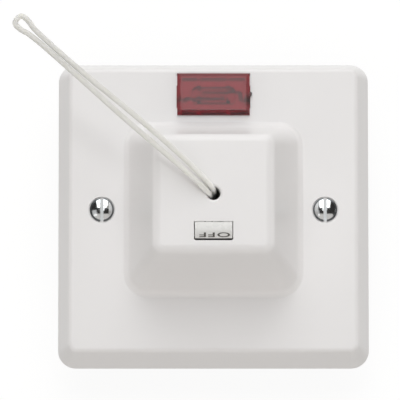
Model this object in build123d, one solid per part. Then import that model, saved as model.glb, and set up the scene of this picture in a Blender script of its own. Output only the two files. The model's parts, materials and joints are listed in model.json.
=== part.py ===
from build123d import *

import os
from math import atan2, cos, hypot, pi, radians, sin

# Ceiling pull switch, double pole, with a neon lens and an on/off indicator drum.
# Millimetres. +Z points out of the front, +Y towards the neon lens. The origin lies in the
# plane of the plate's rim, which meets the ceiling, midway between the two fixing screws.

# Front plate with its tapered boss, one moulding
PLATE_SIDE = 84.0
PLATE_HEIGHT = 9.0
PLATE_DRAFT = 3.0
PLATE_WALL = 2.4
PLATE_CORNER_R = 4.9
PLATE_CORNER_DRAFT = 2.6
PLATE_EDGE_R = 1.3
BOSS_BASE_SIDE = 46.3
BOSS_TOP_SIDE = 32.0
BOSS_HEIGHT = 22.0
BOSS_WALL = 2.0
BOSS_BASE_CORNER_R = 5.3
BOSS_TOP_CORNER_R = 2.8
BOSS_EDGE_R = 2.6
BOSS_FLARE_R = 3.0
BOSS_FLARE_SUNK = 0.2

# Fixing screws, raised countersunk heads with a slot
FIX_CENTRES = 60.3
FIX_SCREW_R = 1.75
FIX_SHANK_R = 1.6
FIX_THREAD_START = 0.5
FIX_SCREW_LENGTH = 25.0
FIX_HEAD_R = 3.25
FIX_HEAD_RISE = 0.8
FIX_SLOT_WIDTH = 0.9
FIX_SLOT_DEPTH = 1.2
FIX_HOLE_CLEARANCE = 0.25
FIX_SEAT_CLEARANCE = 0.08
FIX_RECESS_GAP = 0.3
FIX_RECESS_DEPTH = 0.5
FIX_POST_WALL = 2.3

# Neon lens and lamp
LENS_WIDTH = 19.7
LENS_HEIGHT = 11.35
LENS_OFFSET = 0.8
LENS_RISE = 1.8
LENS_WALL = 1.3
LENS_BEVEL = 0.95
LENS_CLEARANCE = 0.12
LENS_TAB_REACH = 2.4
LENS_TAB_HEIGHT = 6.0
LENS_TAB_THICKNESS = 1.2
LENS_NUB_R = 0.6
LAMP_R = 2.5
LAMP_LENGTH = 12.0
LAMP_GLASS = 0.5
LAMP_SEAL = 2.0
LAMP_END_R = 1.5
LAMP_FIT = 0.05
LAMP_CRADLE = 1.0
ELECTRODE_R = 0.4
ELECTRODE_SPACING = 1.7
ELECTRODE_OVERLAP = 6.0
LEAD_R = 0.5
LEAD_BEND_R = 1.0
LEAD_STRAIGHT = 0.3
LEAD_DROP = 1.1
LEAD_NOTCH_CLEARANCE = 0.25
RESISTOR_R = 1.15
RESISTOR_LENGTH = 6.0
RESISTOR_CAP_R = 1.35
RESISTOR_CAP_LENGTH = 1.2

# Base moulding and guide frame
BASE_X = 51.0
BASE_Y = 51.0
BASE_REAR = 18.0
BASE_WALL = 2.2
BASE_FLOOR = 2.5
BASE_CORNER_R = 3.0
FRAME_THICKNESS = 2.5
FRAME_GAP = 2.1
BASE_SCREW_X = 9.0
BASE_SCREW_R = 1.5
BASE_SCREW_GRIP = 3.5
BASE_SCREW_CLEARANCE = 0.2
BASE_SCREW_HEAD_R = 2.7
BASE_SCREW_HEAD_HEIGHT = 1.9
BASE_SCREW_HEAD_SUNK = 0.3
BASE_PILLAR_WALL = 1.1
BASE_PILLAR_BITE = 0.6

# Terminals, with their contact blades and screws
TERMINAL_WIDTH = 8.5
TERMINAL_LENGTH = 11.0
TERMINAL_HEIGHT = 9.5
TERMINAL_GAP = 0.2
TERMINAL_BORE_R = 2.7
TERMINAL_BORE_ROOF = 1.6
TERMINAL_ENTRY_CLEARANCE = 0.5
TERMINAL_SCREW_R = 2.0
TERMINAL_SCREW_HEAD_R = 2.8
TERMINAL_SCREW_SUNK = 0.4
TERMINAL_SCREW_INSET = 3.6
EARTH_WIDTH = 8.0
EARTH_LENGTH = 8.0
SCREW_SLOT_WIDTH = 0.8
SCREW_SLOT_DEPTH = 0.9
BLADE_WIDTH = 5.0
BLADE_THICKNESS = 1.2
BLADE_END = 0.3
CONTACT_Y = 8.6
CONTACT_CLOSED_GAP = 0.1
FIXED_TIP_R = 2.2
FIXED_TIP_HEIGHT = 1.2
MOVING_TIP_R = 2.0
MOVING_TIP_HEIGHT = 1.0

# Motion: one pull turns the rotor, drops the contact carrier and turns the indicator
PULL_STROKE = 8.0
ROTOR_TURN_DEG = 45.0
CONTACT_STROKE = 3.0
INDICATOR_TURN_DEG = 60.0

# Pull slider, its cord ferrule and the cam rotor
SLEEVE_R = 7.0
SLEEVE_WALL = 1.9
RUNNING_FIT = 0.1
END_PLAY = 0.2
SOCKET_WALL = 1.3
SOCKET_HEIGHT = 3.0
CAM_R = 13.0
CAM_THICKNESS = 3.0
CAM_PEAK_FLAT_DEG = 1.5
CAM_BITE = 0.6
PEG_R = 1.2
PEG_Z = 2.5
PEG_CLEARANCE = 0.3
PEG_TIP_GAP = 0.2
CORD_BORE_R = 1.8
CORD_MOUTH_R = 0.7
SLIDER_TUBE_R = 4.0
SLIDER_FLANGE_R = 5.6
SLIDER_FLANGE_THICKNESS = 1.5
SLIDER_FLANGE_ABOVE_FRAME = 7.5
SLIDER_TUBE_ABOVE_FLANGE = 5.0
SLIDER_EAR_REACH = 2.4
SLIDER_EAR_WIDTH = 3.0
RAIL_WIDTH = 7.0
RAIL_DEPTH = 4.0
RAIL_CLEARANCE = 0.15
RAIL_GAP = 0.6
FERRULE_R = 2.9
FERRULE_LENGTH = 2.7
FERRULE_FLOOR_GAP = 0.3
SPIGOT_R = 3.9
SPIGOT_HEIGHT = 1.4
RETURN_SPRING_WIRE = 0.8
RETURN_SPRING_R = 4.75
RETURN_SPRING_TURNS = 7

# Contact carrier with its bridges and springs
CARRIER_RING_R = 13.4
CARRIER_RING_GAP = 0.4
CARRIER_THICKNESS = 3.0
CARRIER_ARM_WIDTH = 8.0
CARRIER_END_GAP = 0.3
CARRIER_RIB_WIDTH = 1.5
CARRIER_RIB_DEPTH = 1.8
NUB_R = 1.0
NUB_GAP = 0.25
NUB_INNER = 8.5
NUB_OUTER = 12.5
BRIDGE_WIDTH = 5.0
BRIDGE_THICKNESS = 1.0
BRIDGE_END = 2.2
BRIDGE_STUD_R = 1.15
BRIDGE_STUD_FIT = 0.05
BRIDGE_STUD_PROUD = 0.5
CONTACT_SPRING_Y = 11.0
CONTACT_SPRING_WIRE = 0.5
CONTACT_SPRING_R = 1.7
CONTACT_SPRING_TURNS = 5

# Indicator drum, its bearings and the fork that turns it
DRUM_R = 4.3
DRUM_WIDTH = 10.06
DRUM_Y = -10.2
DRUM_DEPTH = 3.7
DRUM_CLEARANCE = 0.15
DRUM_SIDE_GAP = 0.22
DRUM_LOWER_DEG = -31.0
DRUM_UPPER_DEG = 97.0
DRUM_HUB_R = 1.7
WINDOW_LOWER_GAP = 0.25
WINDOW_CORNER_R = 0.6
PIVOT_R = 0.9
PIVOT_FIT = 0.05
PIVOT_SNAP_WIDTH = 1.5
EAR_THICKNESS = 1.3
EAR_WIDTH = 2.8
EAR_BELOW_AXIS = 1.5
CRANK_R = 3.1
CRANK_START_DEG = 12.0
CRANK_THICKNESS = 1.2
CRANK_END_R = 0.9
CRANK_PIN_R = 0.6
CRANK_GAP = 0.2
FORK_THICKNESS = 1.3
FORK_SLOT_HALF = 0.82
FORK_PRONG = 0.65
FORK_WEB = 1.2
FORK_PIN_REACH = 0.65
FORK_POCKET_CLEARANCE = 0.4
ROD_DEPTH = 2.0
ROD_SLOT_CLEARANCE = 0.5

# Doubled pull cord: one length, both ends in the ferrule, with an eye at its far end
CORD_D = 1.5
CORD_HOLE_SPACING = 1.6
CORD_MID_SPACING = 2.0
CORD_FAR_SPACING = 1.56
CORD_BEND_R = 4.5
CORD_BEND_RISE = 2.4
CORD_REACH = (-48.6, 38.8, 20.2)
CORD_EASY_R = 60.0
EYE_HALF_WIDTH = 1.6
EYE_SHOULDER = 2.4
EYE_LENGTH = 5.4
EYE_BEND_R = 1.5
EYE_SHOULDER_R = 3.5

# How far one form reaches into the next where they are joined or cut, and the margin for finding edges
OVERLAP = 0.5
EDGE_MARGIN = 0.01

# Levels along Z that the pieces share
Z_FACE = PLATE_HEIGHT
Z_PLATE_IN = Z_FACE - PLATE_WALL
Z_TOP = Z_FACE + BOSS_HEIGHT
Z_TOP_IN = Z_TOP - BOSS_WALL
Z_FRAME_TOP = Z_PLATE_IN - FRAME_GAP
Z_RIM = Z_FRAME_TOP - FRAME_THICKNESS
Z_REAR = -BASE_REAR
Z_FLOOR = Z_REAR + BASE_FLOOR
Z_TERMINAL_TOP = Z_FLOOR + TERMINAL_HEIGHT
Z_BORE = Z_TERMINAL_TOP - TERMINAL_BORE_ROOF - TERMINAL_BORE_R
Z_LENS_TOP = Z_FACE + LENS_RISE
Z_LENS_BOTTOM = Z_PLATE_IN - LENS_TAB_THICKNESS
Z_LAMP = Z_LENS_TOP - LENS_WALL - LAMP_R - LAMP_FIT
Z_LEAD = Z_RIM - LEAD_DROP
Z_CAM_TOP = Z_RIM - END_PLAY
Z_CAM = Z_CAM_TOP - CAM_THICKNESS
Z_FIXED_TIP = Z_FLOOR + BLADE_THICKNESS + FIXED_TIP_HEIGHT
Z_MOVING_TIP = Z_FIXED_TIP + CONTACT_CLOSED_GAP + CONTACT_STROKE
Z_BRIDGE = Z_MOVING_TIP + MOVING_TIP_HEIGHT
Z_CARRIER = Z_BRIDGE + BRIDGE_THICKNESS
Z_CARRIER_TOP = Z_CARRIER + CARRIER_THICKNESS
Z_SLIDER = Z_FLOOR + FERRULE_FLOOR_GAP + FERRULE_LENGTH
Z_PEG = Z_SLIDER + PEG_Z
Z_FLANGE = Z_FRAME_TOP + SLIDER_FLANGE_ABOVE_FRAME
Z_FLANGE_TOP = Z_FLANGE + SLIDER_FLANGE_THICKNESS
Z_DRUM = Z_TOP - DRUM_DEPTH

# Places across the part that the pieces share; the lens sits between the boss and the edge of the face
FACE_SIDE = PLATE_SIDE - 2 * PLATE_DRAFT
LENS_Y = (BOSS_BASE_SIDE + FACE_SIDE) / 4 + LENS_OFFSET
BASE_IN_X = BASE_X / 2 - BASE_WALL
BASE_IN_Y = BASE_Y / 2 - BASE_WALL
TERMINAL_X = BASE_IN_X - TERMINAL_GAP - TERMINAL_WIDTH / 2
TERMINAL_Y = BASE_IN_Y - TERMINAL_GAP - TERMINAL_LENGTH / 2
EARTH_Y = -(BASE_IN_Y - TERMINAL_GAP - EARTH_LENGTH / 2)
BASE_PILLAR_R = BASE_SCREW_R + BASE_SCREW_CLEARANCE + BASE_PILLAR_WALL
BASE_SCREW_Y = BASE_IN_Y - BASE_PILLAR_R + BASE_PILLAR_BITE
SLIDER_R = SLEEVE_R - SLEEVE_WALL - RUNNING_FIT
EAR_INNER_X = DRUM_WIDTH / 2 + DRUM_SIDE_GAP
EAR_OUTER_X = EAR_INNER_X + EAR_THICKNESS
CRANK_X = EAR_OUTER_X + CRANK_GAP
FORK_X = CRANK_X + CRANK_THICKNESS + CRANK_GAP
CRANK_PIN_Y = DRUM_Y - CRANK_R * cos(radians(CRANK_START_DEG))
CRANK_PIN_Z = Z_DRUM + CRANK_R * sin(radians(CRANK_START_DEG))
FORK_TIP_Y = CRANK_PIN_Y - FORK_PIN_REACH
ROD_Y = FORK_TIP_Y + ROD_DEPTH
FORK_WEB_Y = DRUM_Y - CRANK_R * cos(radians(INDICATOR_TURN_DEG - CRANK_START_DEG)) + CRANK_PIN_R
FORK_WEB_IN = FORK_WEB_Y + RUNNING_FIT + DRUM_CLEARANCE

HALF = 0.5
BOTH = (-1, 1)
CORNERS = [(sx, sy) for sx in BOTH for sy in BOTH]


# Small helpers

def block(x0, x1, y0, y1, z0, z1):
    """A box between two corners."""
    return Pos((x0 + x1) / 2, (y0 + y1) / 2, (z0 + z1) / 2) * Box(x1 - x0, y1 - y0, z1 - z0)


def post(radius, z0, z1, x=0.0, y=0.0):
    """A cylinder along Z."""
    return Pos(x, y, (z0 + z1) / 2) * Cylinder(radius, z1 - z0)


def bar_x(radius, x0, x1, y, z):
    """A cylinder along X."""
    return Pos((x0 + x1) / 2, y, z) * Rot(0, 90, 0) * Cylinder(radius, x1 - x0)


def bar_y(radius, y0, y1, x, z):
    """A cylinder along Y."""
    return Pos(x, (y0 + y1) / 2, z) * Rot(90, 0, 0) * Cylinder(radius, y1 - y0)


def rounded_slab(width, length, corner, z0, z1):
    """A plate with rounded corners, standing on the level z0."""
    return Pos(0, 0, z0) * extrude(RectangleRounded(width, length, corner), amount=z1 - z0)


def tapered(side0, corner0, z0, side1, corner1, z1):
    """A square tower with rounded corners that narrows from z0 to z1."""
    lower = Pos(0, 0, z0) * RectangleRounded(side0, side0, corner0)
    upper = Pos(0, 0, z1) * RectangleRounded(side1, side1, corner1)
    return loft([lower, upper], ruled=True)


def wedge(radius, from_deg, to_deg):
    """A flat sector about the origin, reaching past radius; angles run from +X to +Y."""
    steps = 6
    reach = 2 * radius
    points = [(0, 0)]
    for i in range(steps + 1):
        a = radians(from_deg + (to_deg - from_deg) * i / steps)
        points.append((reach * cos(a), reach * sin(a)))
    return Polygon(*points, align=None)


def coil(radius, wire, z0, z1, turns, x=0.0, y=0.0):
    """A compression spring standing between two levels."""
    height = z1 - z0 - wire
    path = Pos(x, y, z0 + wire / 2) * Helix(pitch=height / turns, height=height, radius=radius)
    section = Plane(origin=path @ 0, z_dir=path % 0) * Circle(wire / 2)
    return sweep(section, path=path)


def slot_cut(x, y, z_open, width, length, depth, along_y=True):
    """A screwdriver slot cut to a depth; a negative depth cuts upwards from below."""
    dx, dy = (width, length) if along_y else (length, width)
    return Pos(x, y, z_open - depth / 2) * Box(dx, dy, abs(depth))


# Front plate

def plate_side_at(z):
    return PLATE_SIDE - 2 * PLATE_DRAFT * z / PLATE_HEIGHT


def boss_side_at(z):
    share = (z - Z_FACE + BOSS_FLARE_SUNK) / (BOSS_HEIGHT + BOSS_FLARE_SUNK)
    return BOSS_BASE_SIDE + (BOSS_TOP_SIDE - BOSS_BASE_SIDE) * share


def plate_outside():
    """The tray and the boss, with rounded edges and a flare that meets the tray in a crease."""
    top_corner = PLATE_CORNER_R - PLATE_CORNER_DRAFT
    tray = tapered(PLATE_SIDE, PLATE_CORNER_R, 0, plate_side_at(Z_FACE), top_corner, Z_FACE)
    tray = fillet(tray.edges().group_by(Axis.Z)[-1], PLATE_EDGE_R)

    z_foot = Z_FACE - BOSS_FLARE_SUNK
    boss = tapered(BOSS_BASE_SIDE, BOSS_BASE_CORNER_R, z_foot, BOSS_TOP_SIDE, BOSS_TOP_CORNER_R, Z_TOP)
    boss = fillet(boss.edges().group_by(Axis.Z)[-1], BOSS_EDGE_R)
    footing_side = BOSS_BASE_SIDE + 4 * BOSS_FLARE_R
    footing_corner = BOSS_BASE_CORNER_R + 2 * BOSS_FLARE_R
    footing = rounded_slab(footing_side, footing_side, footing_corner, Z_PLATE_IN, z_foot)
    boss = footing + boss
    inside = BOSS_BASE_SIDE / 2 + BOSS_FLARE_R / 2
    at_foot = boss.edges().filter_by_position(Axis.Z, z_foot - EDGE_MARGIN, z_foot + EDGE_MARGIN)
    crease = [e for e in at_foot if max(abs(e.center().X), abs(e.center().Y)) < inside]
    boss = fillet(crease, BOSS_FLARE_R)
    return tray + boss


def plate_hollow():
    """The space inside the tray and the boss."""
    corner = PLATE_CORNER_R - PLATE_WALL
    tray = tapered(
        PLATE_SIDE - 2 * PLATE_WALL,
        corner,
        0,
        plate_side_at(Z_PLATE_IN) - 2 * PLATE_WALL,
        corner - PLATE_CORNER_DRAFT * Z_PLATE_IN / PLATE_HEIGHT,
        Z_PLATE_IN,
    )
    wall = BOSS_WALL / cos(atan2(BOSS_BASE_SIDE - BOSS_TOP_SIDE, 2 * BOSS_HEIGHT))
    z_open = Z_PLATE_IN - OVERLAP
    boss = tapered(
        boss_side_at(z_open) - 2 * wall,
        BOSS_BASE_CORNER_R - BOSS_WALL,
        z_open,
        boss_side_at(Z_TOP_IN) - 2 * wall,
        BOSS_TOP_CORNER_R - BOSS_WALL,
        Z_TOP_IN,
    )
    return tray + boss


def fixing_post(x):
    return post(FIX_SCREW_R + FIX_HOLE_CLEARANCE + FIX_POST_WALL, 0, Z_PLATE_IN, x)


def fixing_hole(x):
    """A clear hole with a countersunk seat, and a shallow recess round the head."""
    seat_r = FIX_HEAD_R + FIX_SEAT_CLEARANCE
    hole_r = FIX_SCREW_R + FIX_HOLE_CLEARANCE
    depth = seat_r - hole_r
    seat = Pos(x, 0, Z_FACE - depth / 2) * Cone(hole_r, seat_r, depth)
    recess = post(FIX_HEAD_R + FIX_RECESS_GAP, Z_FACE - FIX_RECESS_DEPTH, Z_FACE, x)
    return post(hole_r, 0, Z_FACE, x) + seat + recess


def indicator_ear(side):
    """A snap-in bearing that hangs inside the front wall beside the drum."""
    x0, x1 = sorted((side * EAR_INNER_X, side * EAR_OUTER_X))
    y0, y1 = DRUM_Y - EAR_WIDTH / 2, DRUM_Y + EAR_WIDTH / 2
    ear = block(x0, x1, y0, y1, Z_DRUM - EAR_BELOW_AXIS, Z_TOP_IN + OVERLAP)
    ear -= bar_x(PIVOT_R + PIVOT_FIT, x0, x1, DRUM_Y, Z_DRUM)
    half = PIVOT_SNAP_WIDTH / 2
    return ear - block(x0, x1, DRUM_Y - half, DRUM_Y + half, Z_DRUM - EAR_BELOW_AXIS, Z_DRUM)


def indicator_window():
    """The opening in front of the drum; its lower edge stands off from the drum and has rounded corners."""
    half = ((DRUM_R + DRUM_CLEARANCE) ** 2 - DRUM_DEPTH**2) ** 0.5
    height = 2 * half + WINDOW_LOWER_GAP
    opening = rounded_slab(2 * EAR_INNER_X, height, WINDOW_CORNER_R, Z_TOP_IN, Z_TOP)
    return Pos(0, DRUM_Y - WINDOW_LOWER_GAP / 2, 0) * opening


def crank_pocket():
    """Room inside the front corner for the crank and the tip of the fork."""
    x1 = FORK_X + FORK_THICKNESS + FORK_POCKET_CLEARANCE
    y0 = CRANK_PIN_Y - CRANK_END_R - FORK_POCKET_CLEARANCE
    y1 = DRUM_Y + CRANK_END_R + FORK_POCKET_CLEARANCE
    z1 = CRANK_PIN_Z + FORK_SLOT_HALF + FORK_PRONG + FORK_POCKET_CLEARANCE
    return block(EAR_OUTER_X, x1, y0, y1, Z_DRUM - 2 * CRANK_R, z1)


def front_plate():
    plate = plate_outside() - plate_hollow()
    bore = post(CORD_BORE_R, Z_TOP_IN - SPIGOT_HEIGHT, Z_TOP)
    plate += post(SPIGOT_R, Z_TOP_IN - SPIGOT_HEIGHT, Z_TOP_IN)
    plate -= bore
    rings = plate.edges().filter_by(GeomType.CIRCLE)
    mouth = rings.filter_by_position(Axis.Z, Z_TOP - EDGE_MARGIN, Z_TOP + EDGE_MARGIN)
    plate = fillet([e for e in mouth if abs(e.radius - CORD_BORE_R) < EDGE_MARGIN], CORD_MOUTH_R)

    for side in BOTH:
        x = side * FIX_CENTRES / 2
        plate += fixing_post(x)
        plate -= fixing_hole(x)
    for sx, sy in CORNERS:
        x, y = sx * BASE_SCREW_X, sy * BASE_SCREW_Y
        plate += post(BASE_PILLAR_R, Z_FRAME_TOP, Z_FACE - BOSS_FLARE_SUNK, x, y)
        plate -= post(BASE_SCREW_R, Z_FRAME_TOP, Z_FRAME_TOP + BASE_SCREW_GRIP, x, y)

    window_x = LENS_WIDTH / 2 + LENS_CLEARANCE
    window_y = LENS_HEIGHT / 2 + LENS_CLEARANCE
    plate -= block(-window_x, window_x, LENS_Y - window_y, LENS_Y + window_y, Z_LENS_BOTTOM, Z_LENS_TOP)

    plate -= bar_x(DRUM_R + DRUM_CLEARANCE, -EAR_INNER_X, EAR_INNER_X, DRUM_Y, Z_DRUM)
    plate -= indicator_window()
    plate -= crank_pocket()
    for side in BOTH:
        plate += indicator_ear(side)
    return plate


# Fasteners

def fixing_screw(x):
    """A machine screw with a raised countersunk head, one slot along Y and a thread behind the plate."""
    head_z = Z_FACE - (FIX_HEAD_R - FIX_SHANK_R)
    tip = Z_FACE - FIX_SCREW_LENGTH
    point = FIX_SCREW_R / 2
    crown = Z_FACE + FIX_HEAD_RISE
    dome_r = (FIX_HEAD_R**2 + FIX_HEAD_RISE**2) / (2 * FIX_HEAD_RISE)
    mid = FIX_HEAD_R / 2
    mid_z = crown - dome_r + (dome_r**2 - mid**2) ** 0.5
    outline = [
        Polyline(
            (0, crown), (0, tip), (FIX_SCREW_R - point, tip), (FIX_SCREW_R, tip + point),
            (FIX_SCREW_R, -FIX_THREAD_START), (FIX_SHANK_R, -FIX_THREAD_START),
            (FIX_SHANK_R, head_z), (FIX_HEAD_R, Z_FACE),
        ),
        ThreePointArc((FIX_HEAD_R, Z_FACE), (mid, mid_z), (0, crown)),
    ]
    screw = revolve(Plane.XZ * make_face(outline), Axis.Z)
    screw -= slot_cut(0, 0, crown, FIX_SLOT_WIDTH, 2 * FIX_HEAD_R, FIX_SLOT_DEPTH)
    return Pos(x, 0, 0) * screw


def fixing_screws():
    return Compound(children=[fixing_screw(side * FIX_CENTRES / 2) for side in BOTH])


def slotted_screw(x, y, radius, head_r, z_head, z_seat, z_tip):
    """A cheese head screw put in from the rear, its slot in the head's lower face."""
    screw = post(head_r, z_head, z_seat, x, y) + post(radius, z_seat, z_tip, x, y)
    return screw - slot_cut(x, y, z_head, SCREW_SLOT_WIDTH, 2 * head_r, -SCREW_SLOT_DEPTH)


def base_screws():
    z_seat = Z_REAR + BASE_SCREW_HEAD_SUNK + BASE_SCREW_HEAD_HEIGHT
    z_tip = Z_FRAME_TOP + BASE_SCREW_GRIP
    screws = []
    for sx, sy in CORNERS:
        x, y = sx * BASE_SCREW_X, sy * BASE_SCREW_Y
        z_head = Z_REAR + BASE_SCREW_HEAD_SUNK
        screws.append(slotted_screw(x, y, BASE_SCREW_R, BASE_SCREW_HEAD_R, z_head, z_seat, z_tip))
    return Compound(children=screws)


def terminal_screw(x, y):
    z_head = Z_REAR + TERMINAL_SCREW_SUNK
    z_tip = Z_BORE - TERMINAL_BORE_R
    return slotted_screw(x, y, TERMINAL_SCREW_R, TERMINAL_SCREW_HEAD_R, z_head, Z_FLOOR, z_tip)


def terminal_screw_y(sy):
    """Each clamp screw stands near the cable end of its terminal."""
    return sy * (TERMINAL_Y + TERMINAL_LENGTH / 2 - TERMINAL_SCREW_INSET)


def terminal_screws():
    places = [(sx * TERMINAL_X, terminal_screw_y(sy)) for sx, sy in CORNERS]
    return Compound(children=[terminal_screw(x, y) for x, y in places])


def earth_screw():
    return terminal_screw(0, EARTH_Y)


# Neon indicator

def neon_lens():
    """A red cap with bevelled edges, open behind, with two tabs under the plate and two lamp cradles."""
    half_w, half_h = LENS_WIDTH / 2, LENS_HEIGHT / 2
    lens = block(-half_w, half_w, -half_h, half_h, Z_LENS_BOTTOM, Z_LENS_TOP)
    lens = chamfer(lens.edges().group_by(Axis.Z)[-1], LENS_BEVEL)
    inner_w = LENS_WIDTH - 2 * LENS_WALL
    inner_h = LENS_HEIGHT - 2 * LENS_WALL
    lens -= block(
        -inner_w / 2, inner_w / 2, -inner_h / 2, inner_h / 2, Z_LENS_BOTTOM, Z_LENS_TOP - LENS_WALL
    )
    for side in BOTH:
        x0, x1 = sorted((side * inner_w / 2, side * (half_w + LENS_TAB_REACH)))
        half = LENS_TAB_HEIGHT / 2
        lens += block(x0, x1, -half, half, Z_LENS_BOTTOM, Z_PLATE_IN)
        cradle_x = side * (LAMP_LENGTH / 2 - LAMP_SEAL)
        x0, x1 = cradle_x - LAMP_CRADLE / 2, cradle_x + LAMP_CRADLE / 2
        cradle = block(x0, x1, -inner_h / 2, inner_h / 2, Z_LAMP, Z_LENS_TOP - LENS_WALL)
        lens += cradle - bar_x(LAMP_R + LAMP_FIT, x0, x1, 0, Z_LAMP)
    nub_z = Z_FACE + LENS_RISE / 2
    lens += post(LENS_NUB_R, Z_FACE, nub_z, half_w, 0)
    return Pos(0, LENS_Y, 0) * lens


def electrode(side):
    """A straight wire from one sealed end of the lamp, past the middle."""
    x_end = side * LAMP_LENGTH / 2
    x0, x1 = sorted((x_end, -side * ELECTRODE_OVERLAP / 2))
    return bar_x(ELECTRODE_R, x0, x1, LENS_Y + side * ELECTRODE_SPACING / 2, Z_LAMP)


def neon_electrodes():
    return Compound(children=[electrode(side) for side in BOTH])


def neon_lamp():
    """A glass tube with rounded, solid ends, sealed round the two electrodes."""
    half = LAMP_LENGTH / 2
    glass = bar_x(LAMP_R, -half, half, LENS_Y, Z_LAMP)
    glass = fillet(glass.edges().filter_by(GeomType.CIRCLE), LAMP_END_R)
    inside = half - LAMP_SEAL
    glass -= bar_x(LAMP_R - LAMP_GLASS, -inside, inside, LENS_Y, Z_LAMP)
    for side in BOTH:
        glass -= electrode(side)
    return glass


def resistor_span():
    x0 = LAMP_LENGTH / 2 + 2 * (LEAD_BEND_R + LEAD_STRAIGHT)
    return x0, x0 + RESISTOR_LENGTH


def neon_resistor():
    x0, x1 = resistor_span()
    body = bar_x(RESISTOR_R, x0, x1, LENS_Y, Z_LEAD)
    for start in (x0, x1 - RESISTOR_CAP_LENGTH):
        body += bar_x(RESISTOR_CAP_R, start, start + RESISTOR_CAP_LENGTH, LENS_Y, Z_LEAD)
    return body


def wire(points):
    """An insulated lead along straight runs with rounded bends."""
    path = FilletPolyline(*points, radius=LEAD_BEND_R)
    section = Plane(origin=path @ 0, z_dir=path % 0) * Circle(LEAD_R)
    return sweep(section, path=path)


def neon_leads():
    """One lead runs to the neutral outlet; the other reaches the live outlet through the resistor."""
    x_lamp = LAMP_LENGTH / 2
    x_drop = x_lamp + LEAD_BEND_R + LEAD_STRAIGHT
    leads = []
    for side in BOTH:
        y_lamp = LENS_Y + side * ELECTRODE_SPACING / 2
        from_lamp = [
            (side * x_lamp, y_lamp, Z_LAMP),
            (side * x_drop, y_lamp, Z_LAMP),
            (side * x_drop, LENS_Y, Z_LEAD),
        ]
        to_terminal = [
            (side * TERMINAL_X, LENS_Y, Z_LEAD),
            (side * TERMINAL_X, TERMINAL_Y, Z_LEAD),
            (side * TERMINAL_X, TERMINAL_Y, Z_TERMINAL_TOP),
        ]
        if side < 0:
            leads.append(wire(from_lamp + to_terminal))
        else:
            x0, x1 = resistor_span()
            leads.append(wire(from_lamp + [(x0, LENS_Y, Z_LEAD)]))
            leads.append(wire([(x1, LENS_Y, Z_LEAD)] + to_terminal))
    return Compound(children=leads)


# Base moulding and guide frame

def base_moulding():
    """A deep tray that holds the terminals, the rotor's socket and the carrier's guide ribs."""
    base = rounded_slab(BASE_X, BASE_Y, BASE_CORNER_R, Z_REAR, Z_RIM)
    base -= block(-BASE_IN_X, BASE_IN_X, -BASE_IN_Y, BASE_IN_Y, Z_FLOOR, Z_RIM)
    socket_r = SLEEVE_R + RUNNING_FIT
    socket = post(socket_r + SOCKET_WALL, Z_FLOOR, Z_FLOOR + SOCKET_HEIGHT)
    base += socket - post(socket_r, Z_FLOOR, Z_FLOOR + SOCKET_HEIGHT)
    rib_y = CARRIER_ARM_WIDTH / 2 + RAIL_CLEARANCE
    for sx, sy in CORNERS:
        x0, x1 = sorted((sx * BASE_IN_X, sx * (BASE_IN_X - CARRIER_RIB_DEPTH)))
        y0, y1 = sorted((sy * rib_y, sy * (rib_y + CARRIER_RIB_WIDTH)))
        base += block(x0, x1, y0, y1, Z_FLOOR, Z_RIM)

        x, y = sx * BASE_SCREW_X, sy * BASE_SCREW_Y
        base += post(BASE_PILLAR_R, Z_FLOOR, Z_RIM, x, y)
        base -= post(BASE_SCREW_R + BASE_SCREW_CLEARANCE, Z_REAR, Z_RIM, x, y)
        z_seat = Z_REAR + BASE_SCREW_HEAD_SUNK + BASE_SCREW_HEAD_HEIGHT
        base -= post(BASE_SCREW_HEAD_R + BASE_SCREW_CLEARANCE, Z_REAR, z_seat, x, y)

        base -= cable_entry(sx * TERMINAL_X, sy)
        base -= terminal_screw_hole(sx * TERMINAL_X, terminal_screw_y(sy))
    base -= cable_entry(0, -1)
    base -= terminal_screw_hole(0, EARTH_Y)
    notch = LEAD_R + LEAD_NOTCH_CLEARANCE
    for side in BOTH:
        x = side * TERMINAL_X
        base -= block(x - notch, x + notch, BASE_IN_Y, BASE_Y / 2, Z_LEAD - notch, Z_RIM)
    return base


def cable_entry(x, sy):
    """A round hole through the side wall in line with a terminal's cable bore."""
    y0, y1 = sorted((sy * BASE_IN_Y, sy * BASE_Y / 2))
    return bar_y(TERMINAL_BORE_R + TERMINAL_ENTRY_CLEARANCE, y0, y1, x, Z_BORE)


def terminal_screw_hole(x, y):
    return post(TERMINAL_SCREW_HEAD_R + BASE_SCREW_CLEARANCE, Z_REAR, Z_FLOOR, x, y)


def rail(side):
    """An upright with a groove that keeps the slider from turning."""
    x_face = SLIDER_FLANGE_R + RAIL_GAP
    x0, x1 = sorted((side * x_face, side * (x_face + RAIL_DEPTH)))
    z1 = Z_FLANGE_TOP + PULL_STROKE + RAIL_GAP
    upright = block(x0, x1, -RAIL_WIDTH / 2, RAIL_WIDTH / 2, Z_FRAME_TOP, z1)
    groove_x = SLIDER_FLANGE_R + SLIDER_EAR_REACH + RAIL_CLEARANCE
    gx0, gx1 = sorted((side * x_face, side * groove_x))
    half = SLIDER_EAR_WIDTH / 2 + RAIL_CLEARANCE
    return upright - block(gx0, gx1, -half, half, Z_FRAME_TOP, z1)


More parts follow.
